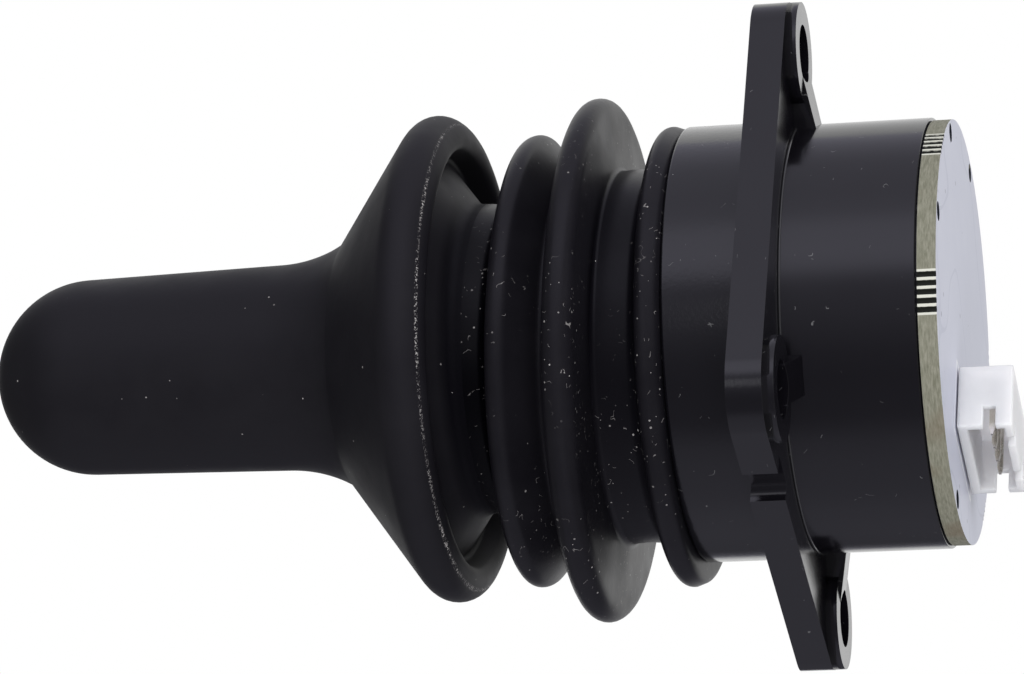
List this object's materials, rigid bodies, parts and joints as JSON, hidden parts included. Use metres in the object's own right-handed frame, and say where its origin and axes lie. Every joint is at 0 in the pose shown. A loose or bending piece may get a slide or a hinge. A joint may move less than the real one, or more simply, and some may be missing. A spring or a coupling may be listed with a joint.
{
  "type": "industrial joystick",
  "caption": "Two-axis spring-return joystick with a one-piece rubber grip and gaiter, a round body, a square mounting flange and a pin connector on its board.",
  "frame": {"origin": "centre of the four mounting holes, on the front face of the flange", "axes": "+Z along the stick towards the tip of the grip; +X and +Y normal to the flange's sides, with the connector's open face towards -Y"},
  "size_m": [0.046, 0.046, 0.0922],
  "materials": {
    "moulded_black": "satin injection-moulded black nylon",
    "grip_rubber": "matte moulded rubber",
    "natural_acetal": "natural acetal, satin",
    "bright_steel": "ground steel",
    "black_steel": "black oxide",
    "gimbal_zinc": "die-cast, tumbled",
    "bronze_bush": "sintered bronze",
    "core_nylon": "glass-filled nylon",
    "board_mask": "pale solder mask over glass-epoxy",
    "chip_black": "moulded epoxy",
    "chip_parts": "ceramic chip parts",
    "header_nylon": "natural white nylon",
    "tinned_pins": "tin plate",
    "magnet_nickel": "nickel plate"
  },
  "bodies": {
    "housing": {"housing": "moulded_black", "gimbal_carrier": "natural_acetal", "gate_plate": "bright_steel", "frame_screws": "bright_steel", "outer_pivot_pins": "bright_steel", "lower_bellows": "grip_rubber", "boot_lip": "grip_rubber", "sensor_board": "board_mask", "hall_sensors": "chip_black", "board_components": "chip_parts", "connector_housing": "header_nylon", "connector_pins": "tinned_pins"},
    "gimbal": {"gimbal_ring": "gimbal_zinc", "ring_bushes": "bronze_bush", "inner_pivot_pins": "bright_steel"},
    "stick": {"shaft_hub": "natural_acetal", "hub_bushes": "bronze_bush", "hub_pin": "bright_steel", "shaft": "bright_steel", "spring_collar": "natural_acetal", "collar_clip": "black_steel", "centring_spring": "bright_steel", "knob_core": "core_nylon", "knob_screw": "black_steel", "grip": "grip_rubber", "upper_bellows": "grip_rubber", "magnet_holder": "natural_acetal", "magnet": "magnet_nickel"}
  },
  "joints": [
    {"name": "tilt_x", "type": "hinge", "parent": "housing", "child": "gimbal", "pos_m": [0, 0, 0], "axis": [1, 0, 0], "range_deg": [-18, 18], "stiffness_Nm_per_rad": 0.35, "deforming": ["upper_bellows", "lower_bellows", "centring_spring"]},
    {"name": "tilt_y", "type": "hinge", "parent": "gimbal", "child": "stick", "pos_m": [0, 0, 0], "axis": [0, 1, 0], "range_deg": [-18, 18], "stiffness_Nm_per_rad": 0.35, "deforming": ["upper_bellows", "lower_bellows", "centring_spring"]}
  ]
}
